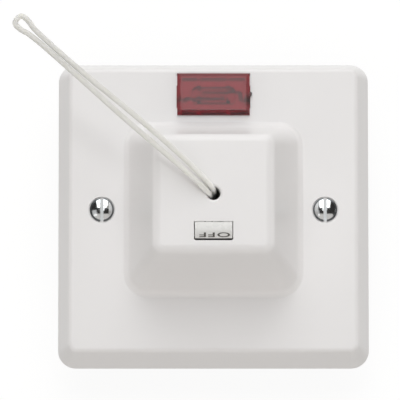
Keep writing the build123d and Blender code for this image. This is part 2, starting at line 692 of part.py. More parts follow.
def guide_frame():
    """The lid of the base: the rotor's front bearing, the slider's two rails and a slot for the rod."""
    frame = rounded_slab(BASE_X, BASE_Y, BASE_CORNER_R, Z_RIM, Z_FRAME_TOP)
    frame -= post(SLEEVE_R + RUNNING_FIT, Z_RIM, Z_FRAME_TOP)
    for sx, sy in CORNERS:
        x, y = sx * BASE_SCREW_X, sy * BASE_SCREW_Y
        frame -= post(BASE_SCREW_R + BASE_SCREW_CLEARANCE, Z_RIM, Z_FRAME_TOP, x, y)
    c = ROD_SLOT_CLEARANCE
    frame -= block(FORK_X - c, FORK_X + FORK_THICKNESS + c, FORK_TIP_Y - c, ROD_Y + c, Z_RIM, Z_FRAME_TOP)
    for side in BOTH:
        frame += rail(side)
    return frame


# Terminals and fixed contacts

def terminal(sx, sy):
    """A brass block with a cable bore, a clamp screw hole and a contact blade along the floor."""
    x, y = sx * TERMINAL_X, sy * TERMINAL_Y
    half_w, half_l = TERMINAL_WIDTH / 2, TERMINAL_LENGTH / 2
    body = block(x - half_w, x + half_w, y - half_l, y + half_l, Z_FLOOR, Z_TERMINAL_TOP)
    y_in, y_out = sy * (TERMINAL_Y - half_l), sy * (TERMINAL_Y + half_l)
    y0, y1 = sorted((y_in, y_out))
    body -= bar_y(TERMINAL_BORE_R, y0, y1, x, Z_BORE)
    body -= post(TERMINAL_SCREW_R, Z_FLOOR, Z_BORE, x, terminal_screw_y(sy))
    y0, y1 = sorted((y_in, sy * (CONTACT_Y - FIXED_TIP_R - BLADE_END)))
    blade = block(x - BLADE_WIDTH / 2, x + BLADE_WIDTH / 2, y0, y1, Z_FLOOR, Z_FLOOR + BLADE_THICKNESS)
    return body + blade


def earth_terminal():
    """A plain brass block with a cable bore and a clamp screw hole."""
    half_w, half_l = EARTH_WIDTH / 2, EARTH_LENGTH / 2
    body = block(-half_w, half_w, EARTH_Y - half_l, EARTH_Y + half_l, Z_FLOOR, Z_TERMINAL_TOP)
    body -= bar_y(TERMINAL_BORE_R, EARTH_Y - half_l, EARTH_Y + half_l, 0, Z_BORE)
    return body - post(TERMINAL_SCREW_R, Z_FLOOR, Z_BORE, 0, EARTH_Y)


def contact_tips(radius, z0, z1):
    """Four silver contact rivets, two on each pole."""
    places = [(sx * TERMINAL_X, sy * CONTACT_Y) for sx, sy in CORNERS]
    return Compound(children=[post(radius, z0, z1, x, y) for x, y in places])


# Pull slider, ferrule, cord and return spring

def pull_slider():
    """A tube for the cord, with two pegs for the rotor, a spring flange and two guide ears."""
    slider = post(SLIDER_R, Z_SLIDER, Z_RIM)
    slider += post(SLIDER_TUBE_R, Z_RIM, Z_FLANGE_TOP + SLIDER_TUBE_ABOVE_FLANGE)
    slider += post(SLIDER_FLANGE_R, Z_FLANGE, Z_FLANGE_TOP)
    reach = SLIDER_FLANGE_R + SLIDER_EAR_REACH
    half = SLIDER_EAR_WIDTH / 2
    slider += block(-reach, reach, -half, half, Z_FLANGE, Z_FLANGE_TOP)
    peg_tip = SLEEVE_R - PEG_TIP_GAP
    slider += bar_x(PEG_R, -peg_tip, peg_tip, 0, Z_PEG)
    return slider - post(CORD_BORE_R, Z_SLIDER, Z_FLANGE_TOP + SLIDER_TUBE_ABOVE_FLANGE)


def cord_across():
    """The unit vector across the cord's run, seen from the front, along which its strands lie apart."""
    run = hypot(CORD_REACH[0], CORD_REACH[1])
    return Vector(-CORD_REACH[1] / run, CORD_REACH[0] / run, 0)


def cord_ferrule():
    """A crimped brass sleeve behind the slider, round both ends of the cord."""
    across = cord_across()
    z0 = Z_SLIDER - FERRULE_LENGTH
    ferrule = post(FERRULE_R, z0, Z_SLIDER)
    for side in BOTH:
        p = across * (side * CORD_HOLE_SPACING / 2)
        ferrule -= post(CORD_D / 2, z0, Z_SLIDER, p.X, p.Y)
    return ferrule


def cord_route():
    """Points and bend radii: up one side of the bore, out to the eye, and back down the other side."""
    across = cord_across()
    bend = Vector(0, 0, Z_TOP + CORD_BEND_RISE)
    reach = Vector(*CORD_REACH)
    far = bend + reach
    forward = reach.normalized()
    side_points = [
        (Vector(0, 0, Z_SLIDER - FERRULE_LENGTH), CORD_HOLE_SPACING / 2, None),
        (bend, CORD_HOLE_SPACING / 2, CORD_BEND_R),
        ((bend + far) * HALF, CORD_MID_SPACING / 2, CORD_EASY_R),
        (far, CORD_FAR_SPACING / 2, EYE_SHOULDER_R),
        (far + forward * EYE_SHOULDER, EYE_HALF_WIDTH, EYE_SHOULDER_R),
        (far + forward * EYE_LENGTH, EYE_HALF_WIDTH, EYE_BEND_R),
    ]
    out = [(p + across * s, r) for p, s, r in side_points]
    back = [(p - across * s, r) for p, s, r in reversed(side_points)]
    points = [p for p, _ in out + back]
    radii = [r for _, r in out + back if r is not None]
    return points, radii


def pull_cord():
    points, radii = cord_route()
    path = FilletPolyline(*points, radius=radii)
    section = Plane(origin=path @ 0, z_dir=path % 0) * Circle(CORD_D / 2)
    cord = sweep(section, path=path)
    expected = pi * (CORD_D / 2) ** 2 * path.length
    print("cord bend radii:", radii)
    print(f"cord length {path.length:.1f} mm, volume over section times length {cord.volume / expected:.4f}")
    return cord


def return_spring():
    return coil(RETURN_SPRING_R, RETURN_SPRING_WIRE, Z_FLANGE_TOP, Z_TOP_IN, RETURN_SPRING_TURNS)


# Cam rotor

def peg_slot(side):
    """A helical slot that turns the rotor as a peg rises through it."""
    z0 = Z_PEG - PEG_R - PEG_CLEARANCE
    length = PULL_STROKE + 2 * (PEG_R + PEG_CLEARANCE)
    rate = -ROTOR_TURN_DEG / PULL_STROKE
    lead_angle = atan2(radians(ROTOR_TURN_DEG) * SLEEVE_R, PULL_STROKE)
    width = 2 * (PEG_R + PEG_CLEARANCE) / cos(lead_angle)
    inner = SLEEVE_R - SLEEVE_WALL - OVERLAP
    outer = SLEEVE_R + OVERLAP
    profile = Pos((inner + outer) / 2, 0, 0) * Rectangle(outer - inner, width)
    twisted = Solid.extrude_linear_with_rotation(profile.face(), (0, 0, 0), (0, 0, length), rate * length)
    start = rate * -(PEG_R + PEG_CLEARANCE) + (0 if side > 0 else 180)
    return Pos(0, 0, z0) * Rot(0, 0, start) * twisted


def cam_lobe(centre_deg):
    """A lobe with two ramps of constant pitch, the height that half a lobe's turn gives."""
    peak = CAM_PEAK_FLAT_DEG
    height = CONTACT_STROKE * (ROTOR_TURN_DEG - peak) / ROTOR_TURN_DEG
    ring = Circle(CAM_R) - Circle(SLEEVE_R - CAM_BITE)
    wide = ring & wedge(CAM_R, -ROTOR_TURN_DEG, ROTOR_TURN_DEG)
    narrow = ring & wedge(CAM_R, -peak, peak)
    lobe = loft([Pos(0, 0, Z_CAM) * wide, Pos(0, 0, Z_CAM - height) * narrow], ruled=True)
    return Rot(0, 0, centre_deg) * lobe


def cam_rotor():
    """A sleeve with two helical slots and a cam ring whose lobes press the contact carrier back."""
    z0, z1 = Z_FLOOR + END_PLAY, Z_FRAME_TOP - END_PLAY
    rotor = post(SLEEVE_R, z0, z1) + post(CAM_R, Z_CAM, Z_CAM_TOP)
    lobes = round(180 / ROTOR_TURN_DEG)
    for i in range(lobes):
        rotor += cam_lobe((2 * i + 1) * ROTOR_TURN_DEG)
    rotor -= post(SLEEVE_R - SLEEVE_WALL, z0, z1)
    for side in BOTH:
        rotor -= peg_slot(side)
    return rotor


# Contact carrier

def carrier_nub(side):
    """A round-topped follower that lies in a valley of the cam at rest."""
    z_axis = Z_CAM - NUB_GAP - NUB_R
    x0, x1 = sorted((side * NUB_INNER, side * NUB_OUTER))
    return bar_x(NUB_R, x0, x1, 0, z_axis) + block(x0, x1, -NUB_R, NUB_R, Z_CARRIER_TOP, z_axis)


def indicator_fork():
    """A rod from the carrier up to the indicator, ending in a fork round the crank pin."""
    x0, x1 = FORK_X, FORK_X + FORK_THICKNESS
    z_low, z_high = CRANK_PIN_Z - FORK_SLOT_HALF, CRANK_PIN_Z + FORK_SLOT_HALF
    web_out = FORK_WEB_IN + FORK_WEB
    fork = block(x0, x1, FORK_TIP_Y, ROD_Y, Z_CARRIER, z_low)
    fork += block(x0, x1, FORK_TIP_Y, web_out, z_low - FORK_PRONG, z_low)
    fork += block(x0, x1, FORK_WEB_IN, web_out, z_low - FORK_PRONG, z_high + FORK_PRONG)
    return fork + block(x0, x1, FORK_TIP_Y, web_out, z_high, z_high + FORK_PRONG)


def contact_carrier():
    """A ring with two arms for the bridges, two cam followers and the indicator's rod."""
    inner = SLEEVE_R + CARRIER_RING_GAP
    carrier = post(CARRIER_RING_R, Z_CARRIER, Z_CARRIER_TOP)
    reach = BASE_IN_X - CARRIER_END_GAP
    half = CARRIER_ARM_WIDTH / 2
    carrier += block(-reach, reach, -half, half, Z_CARRIER, Z_CARRIER_TOP)
    x0, x1 = FORK_X, FORK_X + FORK_THICKNESS
    carrier += block(x0, x1, FORK_TIP_Y, 0, Z_CARRIER, Z_CARRIER_TOP)
    carrier -= post(inner, Z_CARRIER, Z_CARRIER_TOP)
    carrier += indicator_fork()
    for side in BOTH:
        carrier += carrier_nub(side)
        carrier += post(BRIDGE_STUD_R, Z_BRIDGE - BRIDGE_STUD_PROUD, Z_CARRIER, side * TERMINAL_X)
    return carrier


def contact_bridge(side):
    """A copper strip across one pole, held on the carrier's stud."""
    x = side * TERMINAL_X
    half_l = CONTACT_Y + BRIDGE_END
    strip = block(x - BRIDGE_WIDTH / 2, x + BRIDGE_WIDTH / 2, -half_l, half_l, Z_BRIDGE, Z_CARRIER)
    return strip - post(BRIDGE_STUD_R + BRIDGE_STUD_FIT, Z_BRIDGE, Z_CARRIER, x)


def contact_springs():
    r, wire_d, turns = CONTACT_SPRING_R, CONTACT_SPRING_WIRE, CONTACT_SPRING_TURNS
    springs = [coil(r, wire_d, Z_FLOOR, Z_CARRIER, turns, 0, side * CONTACT_SPRING_Y) for side in BOTH]
    return Compound(children=springs)


# Indicator drum

def indicator_drum():
    """A sector of a drum on two pivots, with a crank and its pin at one end."""
    half = DRUM_WIDTH / 2
    # In the drum's end view local X is +Y and local Y is +Z, so angles from +Z turn by 90 degrees.
    sector = Circle(DRUM_R) & wedge(DRUM_R, 90 - DRUM_UPPER_DEG, 90 - DRUM_LOWER_DEG)
    body = extrude(Plane.YZ * (sector + Circle(DRUM_HUB_R)), amount=half, both=True)
    body += bar_x(PIVOT_R, -EAR_OUTER_X, CRANK_X + CRANK_THICKNESS, 0, 0)
    pin_y, pin_z = CRANK_PIN_Y - DRUM_Y, CRANK_PIN_Z - Z_DRUM
    crank = Rot(-CRANK_START_DEG, 0, 0) * block(
        CRANK_X, CRANK_X + CRANK_THICKNESS, -CRANK_R, 0, -CRANK_END_R, CRANK_END_R
    )
    for y, z in ((0, 0), (pin_y, pin_z)):
        crank += bar_x(CRANK_END_R, CRANK_X, CRANK_X + CRANK_THICKNESS, y, z)
    body += crank
    body += bar_x(CRANK_PIN_R, CRANK_X, FORK_X + FORK_THICKNESS, pin_y, pin_z)
    return Pos(0, DRUM_Y, Z_DRUM) * body


# Every node of the part, by name

NODES = {
    "front_plate": front_plate(),
    "fixing_screws": fixing_screws(),
    "neon_lens": neon_lens(),
    "neon_lamp": neon_lamp(),
    "neon_electrodes": neon_electrodes(),
    "neon_resistor": neon_resistor(),
    "neon_leads": neon_leads(),
    "base_moulding": base_moulding(),
    "guide_frame": guide_frame(),
    "base_screws": base_screws(),
    "live_in_terminal": terminal(1, -1),
    "live_out_terminal": terminal(1, 1),
    "neutral_in_terminal": terminal(-1, -1),
    "neutral_out_terminal": terminal(-1, 1),
    "terminal_screws": terminal_screws(),
    "earth_terminal": earth_terminal(),
    "earth_screw": earth_screw(),
    "fixed_contact_tips": contact_tips(FIXED_TIP_R, Z_FLOOR + BLADE_THICKNESS, Z_FIXED_TIP),
    "pull_slider": pull_slider(),
    "cord_ferrule": cord_ferrule(),
    "pull_cord": pull_cord(),
    "return_spring": return_spring(),
    "cam_rotor": cam_rotor(),
    "contact_carrier": contact_carrier(),
    "live_bridge": contact_bridge(1),
    "neutral_bridge": contact_bridge(-1),
    "moving_contact_tips": contact_tips(MOVING_TIP_R, Z_MOVING_TIP, Z_BRIDGE),
    "contact_springs": contact_springs(),
    "indicator_drum": indicator_drum(),
}

os.makedirs("parts", exist_ok=True)
for name, shape in NODES.items():
    export_step(shape, f"parts/{name}.step")
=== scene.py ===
import json
import math

import bmesh
import bpy
import numpy as np
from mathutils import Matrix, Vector


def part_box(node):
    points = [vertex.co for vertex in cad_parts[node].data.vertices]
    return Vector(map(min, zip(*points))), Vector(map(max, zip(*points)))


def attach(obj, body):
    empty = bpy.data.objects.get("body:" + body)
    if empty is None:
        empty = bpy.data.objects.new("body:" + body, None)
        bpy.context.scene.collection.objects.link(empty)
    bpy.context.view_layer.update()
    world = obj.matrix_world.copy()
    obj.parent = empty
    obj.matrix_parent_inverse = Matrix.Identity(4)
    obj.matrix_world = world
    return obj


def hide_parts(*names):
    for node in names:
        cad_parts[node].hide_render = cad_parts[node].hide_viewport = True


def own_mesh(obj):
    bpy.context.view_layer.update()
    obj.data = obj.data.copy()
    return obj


# A ceiling pull switch, lying on its back as on a table, seen from the front.
# Metres. +Z points out of the switch's front and +Y towards its neon lens.

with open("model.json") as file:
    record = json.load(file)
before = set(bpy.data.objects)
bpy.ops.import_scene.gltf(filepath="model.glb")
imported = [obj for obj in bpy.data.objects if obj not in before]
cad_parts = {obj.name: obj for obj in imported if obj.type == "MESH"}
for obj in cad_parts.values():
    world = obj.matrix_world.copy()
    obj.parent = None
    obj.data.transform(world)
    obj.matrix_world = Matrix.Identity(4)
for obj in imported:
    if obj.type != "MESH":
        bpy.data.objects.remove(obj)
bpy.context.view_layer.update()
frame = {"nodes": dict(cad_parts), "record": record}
scene = bpy.context.scene
MM = 0.001

# The photograph's view: how high the camera stands, where it aims and how large a millimetre is
CAMERA_ELEVATION_DEG = 78.14
CAMERA_DISTANCE = 2.5
CAMERA_AIM = Vector((-3.639, 2.67, 9.0)) * MM
PIXELS_PER_MM = 3.701
PICTURE_PIXELS = 400
SENSOR_MM = 36.0
CLIP_RATIO = 100

# Lamps: how far each leans from overhead towards +Y and turns about Z, and how wide and high it looks
# from the switch, all in degrees; its level is the brightness that it gives a white surface facing it
LAMP_DISTANCE = 1.5
NEUTRAL = "#FFFFFF"
WARM = "#FFFBF7"
LAMPS = {
    "key_softbox": dict(lean=44.0, turn=0.0, width=44.0, height=50.0, level=0.63, colour=NEUTRAL),
    "key_top": dict(lean=12.0, turn=0.0, width=18.0, height=14.0, level=0.05, colour=NEUTRAL),
    "key_core": dict(
        lean=10.5, turn=0.0, width=10.0, height=10.0, level=0.08, colour=NEUTRAL, mirrored=False,
    ),
    "front_fill": dict(lean=42.0, turn=180.0, width=80.0, height=66.0, level=0.46, colour=WARM),
    "left_fill": dict(lean=34.0, turn=98.0, width=26.0, height=20.0, level=0.03, colour=NEUTRAL),
    "right_fill": dict(lean=56.0, turn=-90.0, width=30.0, height=16.0, level=0.03, colour=NEUTRAL),
}

# The room's brightness by height, from 0 at the horizon to 1 overhead, and the table
SKY = ((0.0, 1.34), (0.2, 1.32), (0.3, 0.36), (0.45, 0.34), (0.55, 0.03), (1.0, 0.03))
TABLE_REACH = 4.0
TABLE_DULL = "#9D9D9B"
GLOW_SHARE = 0.88
GLOW_STRENGTH = 1.04

# The pull cord's route, from the ferrule up the bore and out of its mouth to the eye
CORD_D = 1.5 * MM
CORD_START = Vector((0, 0, -15.2)) * MM
BORE_LEAN = 0.5 * MM
BORE_Z = 29.0 * MM
MOUTH_LEAN = 1.15 * MM
MOUTH_Z = 31.9 * MM
CORD_REACH = Vector((-48.35, 39.05, 21.7)) * MM
CORD_EASE = 9.0 * MM
NEAR_BOW = 0.6 * MM
MID_SHARE = 0.45
MID_BOW = 0.3 * MM
CLOSE_SHARE = 0.72
EYE_SHOULDER = 2.4 * MM
EYE_LENGTH = 5.4 * MM

# Half the spacing of the cord's strands along that route
HOLE_HALF = 0.8 * MM
NEAR_HALF = 1.15 * MM
MID_HALF = 1.3 * MM
FAR_HALF = 0.79 * MM
EYE_HALF = 1.6 * MM

# The cord's braid and how finely it is made
BRAID_CARRIERS = 8
BRAID_LAY = 5.0 * MM
BRAID_RELIEF = 0.045 * MM
ROUTE_STEPS = 24
CORD_STEP = 0.16 * MM
CORD_SIDES = 32

# Fixing screws
SCREW_CENTRES = 60.3 * MM
SCREW_TIP = -16.0 * MM
TIP_SHARE = 0.5
THREAD_R = 1.75 * MM
THREAD_PITCH = 0.6 * MM
THREAD_DEPTH = 0.34 * MM
THREAD_END = -0.5 * MM
SHANK_R = 1.6 * MM
FACE_Z = 9.0 * MM
HEAD_R = 3.25 * MM
HEAD_RISE = 0.8 * MM
HEAD_LIP = 0.12 * MM
NECK_Z = FACE_Z - HEAD_R + SHANK_R
SLOT_WIDTH = 0.9 * MM
SLOT_DEPTH = 1.2 * MM
SLOT_BEVEL = 0.13 * MM
SLOT_BEVEL_STEPS = 2
SLOT_EDGE_DEG = 35.0
SHARP_EDGE_DEG = 40.0
SCREW_SIDES = 64
THREAD_STEPS = 12
DOME_STEPS = 16
DOME_TOP_SHARE = 0.02
# How many of the dome's outer rings, with the lip, take the painted shadow of the gap round the head
PAINTED_SHADOW_RINGS = 2
WELD = 0.002 * MM

# Springs: wire, coil, turns and where the contact springs stand
RETURN_WIRE = 0.8 * MM
RETURN_R = 4.75 * MM
RETURN_TURNS = 7
CONTACT_WIRE = 0.5 * MM
CONTACT_R = 1.7 * MM
CONTACT_TURNS = 5
CONTACT_Y = 11.0 * MM
WIRE_SIDES = 12
TURN_STEPS = 36

# Words on the indicator drum: their angles run from +Z towards -Y
DRUM_AXIS = Vector((0, -10.2, 27.3)) * MM
DRUM_R = 4.3 * MM
WORD_HEIGHT = 1.25 * MM
WORD_SHIFT = 0.3 * MM
OFF_WIDTH = 8.2 * MM
OFF_DEG = 18.0
ON_WIDTH = 5.6 * MM
ON_DEG = -42.0
PRINT_RISE = 0.06 * MM
PRINT_SUNK = 0.01 * MM
STROKE_SPREAD = 0.012
LETTER_SPACING = 1.12
LETTER_THICKNESS = 0.5


# Small helpers

def linear(hex_code):
    """An sRGB hex colour as linear red, green, blue and alpha."""
    values = [int(hex_code[i:i + 2], 16) / 255 for i in (1, 3, 5)]
    return [v / 12.92 if v <= 0.04045 else ((v + 0.055) / 1.055) ** 2.4 for v in values] + [1.0]


def levels(node):
    """The lowest and the highest level of a node at rest."""
    low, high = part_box(node)
    return low.z, high.z


def mesh_object(name, points, faces, material, smooth=True):
    """A new object in the scene with one mesh of these points and faces."""
    mesh = bpy.data.meshes.new(name)
    mesh.from_pydata(points, [], faces)
    mesh.validate()
    for polygon in mesh.polygons:
        polygon.use_smooth = smooth
    made = bpy.data.objects.new(name, mesh)
    made.data.materials.append(material)
    scene.collection.objects.link(made)
    return made


def add(tree, kind, sockets=None, **settings):
    """Adds a node with its settings; sockets holds values or links by input name or number."""
    made = tree.nodes.new(kind)
    for name, value in settings.items():
        setattr(made, name, value)
    for name, value in (sockets or {}).items():
        if isinstance(value, bpy.types.NodeSocket):
            tree.links.new(value, made.inputs[name])
        else:
            made.inputs[name].default_value = value
    return made


def new_material(name, **sockets):
    """A material with its shader's constants set, and the place on the object in metres."""
    material = bpy.data.materials.new(name)
    material.use_nodes = True
    tree = material.node_tree
    shader = tree.nodes["Principled BSDF"]
    for socket, value in sockets.items():
        shader.inputs[socket.replace("_", " ")].default_value = value
    place = add(tree, "ShaderNodeTexCoord").outputs["Object"]
    return material, tree, shader, place


def vary(tree, shader, place, patch_mm, colours, roughness, relief_mm=0.0, detail=2.0):
    """Lets colour, roughness and relief change together over patches about patch_mm across."""
    pattern = {"Vector": place, "Scale": 1 / (patch_mm * MM), "Detail": detail}
    patch = add(tree, "ShaderNodeTexNoise", pattern).outputs[0]
    blend = {0: patch, 6: linear(colours[0]), 7: linear(colours[1])}
    colour = add(tree, "ShaderNodeMix", blend, data_type="RGBA").outputs[2]
    rough = add(tree, "ShaderNodeMapRange", {0: patch, 3: roughness[0], 4: roughness[1]}).outputs[0]
    tree.links.new(colour, shader.inputs["Base Color"])
    tree.links.new(rough, shader.inputs["Roughness"])
    if relief_mm:
        relief = add(tree, "ShaderNodeBump", {"Height": patch, "Distance": relief_mm * MM}).outputs[0]
        tree.links.new(relief, shader.inputs["Normal"])


def finish(name, patch_mm, colours, roughness, relief_mm=0.0, detail=2.0, grain=None, **sockets):
    """A material of such patches; grain scales them along each axis, for lines along a cut."""
    material, tree, shader, place = new_material(name, **sockets)
    if grain:
        place = add(tree, "ShaderNodeMapping", {"Vector": place, "Scale": grain}).outputs[0]
    vary(tree, shader, place, patch_mm, colours, roughness, relief_mm, detail)
    return material


# Materials

def white_urea():
    """Urea moulding off a polished mould: bright, even white with a soft gloss."""
    return finish(
        "white_urea_moulding", patch_mm=18.0, colours=("#E9E8E8", "#ECEBEB"), roughness=(0.26, 0.32),
        IOR=1.55,
    )


def nickel_plate():
    """Bright nickel plating on a turned screw: mirror-like, a little uneven from the turning."""
    return finish(
        "bright_nickel_plate", patch_mm=1.2, colours=("#D8DBDC", "#E3E5E6"), roughness=(0.08, 0.16),
        Metallic=1.0,
    )


def sawn_nickel():
    """The sawn slot under the plating: the same metal, dulled by the cutter's marks along it."""
    return finish(
        "sawn_nickel_slot", patch_mm=0.1, colours=("#CDD0D1", "#D9DCDD"), roughness=(0.42, 0.52),
        grain=(1.0, 0.1, 1.0), Metallic=1.0,
    )


def painted_shadow_rim_nickel():
    """The screw head's lip and outer dome in dark nickel, as painted shadow: a dark line round the bright
    dome that stands for the shaded gap between the head and its recess.
    """
    return finish(
        "nickel_rim_painted_shadow", patch_mm=0.4, colours=("#5F6365", "#73777A"), roughness=(0.3, 0.42),
        Metallic=1.0,
    )


def red_polycarbonate():
    """Polished red polycarbonate: deep red where light comes through it, with a clear gloss."""
    return finish(
        "red_polycarbonate", patch_mm=3.0, colours=("#740A18", "#820D1E"), roughness=(0.20, 0.26),
        IOR=1.585, Transmission_Weight=1.0, Specular_Tint=linear("#D6D2D2"),
    )


def lamp_glass():
    """Clear drawn glass, with a slight warm cast."""
    return finish(
        "clear_lamp_glass", patch_mm=2.0, colours=("#F4EEE6", "#FBF8F3"), roughness=(0.02, 0.06),
        IOR=1.5, Transmission_Weight=1.0,
    )


def resistor_lacquer():
    """Baked tan lacquer on a film resistor, slightly uneven."""
    return finish(
        "tan_resistor_lacquer", patch_mm=0.8, colours=("#C9A878", "#D4B78B"), roughness=(0.35, 0.5),
    )


def wire_sleeve():
    """Soft insulating sleeve on a thin lead, slightly waxy."""
    return finish("pale_wire_sleeve", patch_mm=1.5, colours=("#DCD8CA", "#E6E2D6"), roughness=(0.4, 0.55))


def phenolic():
    """Dark brown phenolic moulding: its wood flour leaves a fine mottle under a dull gloss."""
    return finish(
        "brown_phenolic_moulding", patch_mm=0.5, colours=("#2B1D16", "#4A3427"), roughness=(0.34, 0.46),
        relief_mm=0.006, detail=4.0, IOR=1.6,
    )


def zinc_plate():
    """Zinc plated steel: a cool grey metal with a soft sheen."""
    return finish(
        "zinc_plated_steel", patch_mm=0.9, colours=("#AEB0B2", "#C6C7C6"), roughness=(0.25, 0.4),
        relief_mm=0.004, Metallic=1.0,
    )


def drawn_brass():
    """Drawn brass bar, cut and drilled: warm yellow metal with fine lines along the bar."""
    return finish(
        "drawn_brass", patch_mm=0.25, colours=("#BE9A4E", "#D9BC78"), roughness=(0.22, 0.4),
        relief_mm=0.005, detail=3.0, grain=(1.0, 0.08, 1.0), Metallic=1.0,
    )


def contact_silver():
    """Fine silver rivets: pale, soft metal with a dull shine."""
    return finish(
        "silver_contact", patch_mm=0.5, colours=("#D8D6D0", "#EBEAE6"), roughness=(0.3, 0.42), Metallic=1.0,
    )


def acetal():
    """Natural acetal moulding: milky off-white and slightly waxy."""
    return finish("natural_acetal", patch_mm=4.0, colours=("#DEDCD2", "#E7E5DD"), roughness=(0.38, 0.5))


def braided_nylon():
    """Ivory nylon cord that lets light through: fine filaments along the braid give a soft silky sheen."""
    return finish(
        "braided_ivory_nylon", patch_mm=0.25, colours=("#D8D8D3", "#E2E2DE"), roughness=(0.55, 0.7),
        relief_mm=0.006, detail=3.0,
        Subsurface_Weight=1.0, Subsurface_Scale=3.0 * MM, Subsurface_Radius=(1.0, 1.0, 0.9),
    )


def spring_wire():
    """Drawn spring wire: grey steel with a thin film of oil."""
    return finish(
        "drawn_spring_wire", patch_mm=0.6, colours=("#86888A", "#A2A3A3"), roughness=(0.22, 0.34),
        Metallic=1.0,
    )


def rolled_copper():
    """Rolled copper strip: reddish metal with lines along the roll."""
    return finish(
        "rolled_copper", patch_mm=0.2, colours=("#B8704C", "#D08F6A"), roughness=(0.25, 0.4),
        detail=3.0, grain=(1.0, 0.05, 1.0), Metallic=1.0,
    )


def drum_white_painted_shade():
    """Glossy white moulding of the indicator drum, a little greyer than the plate: the grey is painted
    shade, standing for the shade on the drum's face turned from the light.
    """
    return finish(
        "white_drum_moulding_painted_shade", patch_mm=2.0, colours=("#DADAD8", "#DFDFDD"), roughness=(0.24, 0.32),
        IOR=1.5,
    )


def print_ink():
    """Pad-printed dark grey ink, matt and slightly uneven."""
    return finish("dark_grey_print", patch_mm=0.3, colours=("#45443F", "#5A5853"), roughness=(0.5, 0.65))


FINISHES = {
    "white_urea": white_urea(),
    "plated_steel": nickel_plate(),
    "red_lens": red_polycarbonate(),
    "lamp_glass": lamp_glass(),
    "resistor_body": resistor_lacquer(),
    "lead_sleeve": wire_sleeve(),
    "phenolic": phenolic(),
    "zinc_steel": zinc_plate(),
    "brass": drawn_brass(),
    "silver_contact": contact_silver(),
    "acetal": acetal(),
    "nylon_cord": braided_nylon(),
    "spring_steel": spring_wire(),
    "copper": rolled_copper(),
    "indicator_white": drum_white_painted_shade(),
}
SAWN = sawn_nickel()
# Dark nickel as painted shadow, for the gap round each screw head
PAINTED_RIM_SHADOW = painted_shadow_rim_nickel()
INK = print_ink()


def dress_cad_nodes():
    """Gives every CAD node the finish of its slot."""
    for subpart in frame["record"]["subparts"]:
        node = frame["nodes"][subpart["node"]]
        for place in node.material_slots:
            place.material = FINISHES[subpart["material_slot"]]


# Camera

def make_camera():
    """The photograph's camera: it looks almost straight at the front, from a little towards -Y."""
    data = bpy.data.cameras.new("camera")
    data.sensor_width = SENSOR_MM
    data.lens = SENSOR_MM * PIXELS_PER_MM * (CAMERA_DISTANCE / MM) / PICTURE_PIXELS
    data.clip_start = CAMERA_DISTANCE / CLIP_RATIO
    data.clip_end = CAMERA_DISTANCE * CLIP_RATIO
    camera = bpy.data.objects.new("camera", data)
    tilt = math.radians(CAMERA_ELEVATION_DEG)
    back = Vector((0, -math.cos(tilt), math.sin(tilt)))
    camera.location = CAMERA_AIM + back * CAMERA_DISTANCE
    camera.rotation_euler = (-back).to_track_quat("-Z", "Y").to_euler()
    scene.collection.objects.link(camera)
    scene.camera = camera


# Tubes about a line, for the cord and the springs

def tube_frames(line):
    """Two unit vectors across the line at each point, turned as little as possible along it."""
    tangents = np.gradient(line, axis=0)
    tangents /= np.linalg.norm(tangents, axis=1)[:, None]
    first = np.cross(tangents[0], (1.0, 0.0, 0.0))
    normals = [first / np.linalg.norm(first)]
    for tangent in tangents[1:]:
        turned = normals[-1] - tangent * np.dot(normals[-1], tangent)
        normals.append(turned / np.linalg.norm(turned))
    normals = np.array(normals)
    return normals, np.cross(tangents, normals)


def tube_points(line, angle, radius):
    """Rings of points about the line, one for each angle; radius has a row for each ring."""
    normals, binormals = tube_frames(line)
    rings = (
        line[:, None, :]
        + normals[:, None, :] * (radius * np.cos(angle))[:, :, None]
        + binormals[:, None, :] * (radius * np.sin(angle))[:, :, None]
    )
    return rings.reshape(-1, 3).tolist()


def ring_faces(rings, sides):
    """Four-cornered faces between rings of points, and a face over each end."""
    faces = []
    for i in range(rings - 1):
        for j in range(sides):
            k = (j + 1) % sides
            faces.append((i * sides + j, i * sides + k, (i + 1) * sides + k, (i + 1) * sides + j))
    last = (rings - 1) * sides
    faces.append(tuple(reversed(range(sides))))
    faces.append(tuple(range(last, last + sides)))
    return faces


# Pull cord

def cord_controls():
    """The route's control points: up one side of the hole, out to the eye and back down the other side."""
    outward = Vector((CORD_REACH.x, CORD_REACH.y, 0)).normalized()
    across = Vector((-outward.y, outward.x, 0))
    along = CORD_REACH.normalized()
    bore_axis = Vector((0, 0, BORE_Z))
    bore = outward * BORE_LEAN + bore_axis
    mouth = outward * MOUTH_LEAN + Vector((0, 0, MOUTH_Z))
    far = CORD_REACH + Vector((0, 0, MOUTH_Z))
    side = [
        (CORD_START, HOLE_HALF),
        ((CORD_START + bore_axis) / 2, HOLE_HALF),
        (bore, HOLE_HALF),
        (mouth, HOLE_HALF),
        (mouth + along * CORD_EASE - across * NEAR_BOW, NEAR_HALF),
        (mouth.lerp(far, MID_SHARE) - across * MID_BOW, MID_HALF),
        (mouth.lerp(far, CLOSE_SHARE), FAR_HALF),
        (far, FAR_HALF),
        (far + along * EYE_SHOULDER, EYE_HALF),
        (far + along * EYE_LENGTH, EYE_HALF),
    ]
    out = [p + across * half for p, half in side]
    back = [p - across * half for p, half in reversed(side)]
    return out + back


